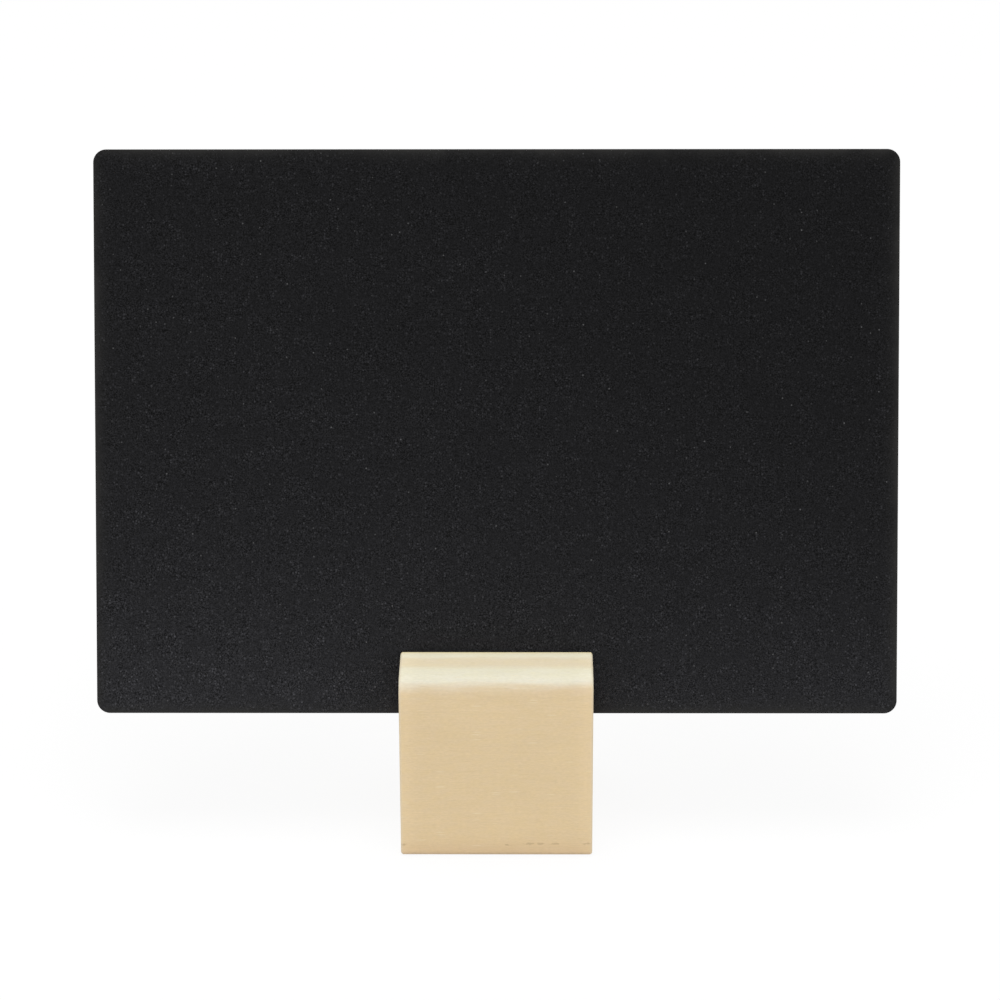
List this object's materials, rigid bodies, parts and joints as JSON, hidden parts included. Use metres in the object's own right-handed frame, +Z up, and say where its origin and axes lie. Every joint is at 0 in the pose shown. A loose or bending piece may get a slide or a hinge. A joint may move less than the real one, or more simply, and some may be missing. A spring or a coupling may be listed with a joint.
{
  "type": "wooden sign holder",
  "caption": "Free-standing wooden block with a tilted slot across its top, holding a matte black chalkboard sign with rounded corners that leans back and lifts out.",
  "frame": {"origin": "centre of the block's flat underside, which is the face it stands on", "axes": "+X along the sign's width and the wood's grain, +Y to the rear, the way the sign leans, +Z up"},
  "size_m": [0.148, 0.0476, 0.1228],
  "materials": {
    "wood": "matte",
    "board_edge": "matte",
    "chalk_face": "matte"
  },
  "bodies": {
    "holder": {"slotted_block": "wood"},
    "sign": {"board_core": "board_edge", "front_chalk_sheet": "chalk_face", "rear_chalk_sheet": "chalk_face"}
  },
  "joints": [
    {"name": "sign_lift", "type": "slide", "parent": "holder", "child": "sign", "axis": [0, 0.342, 0.9397], "range_m": [0, 0.03]}
  ]
}
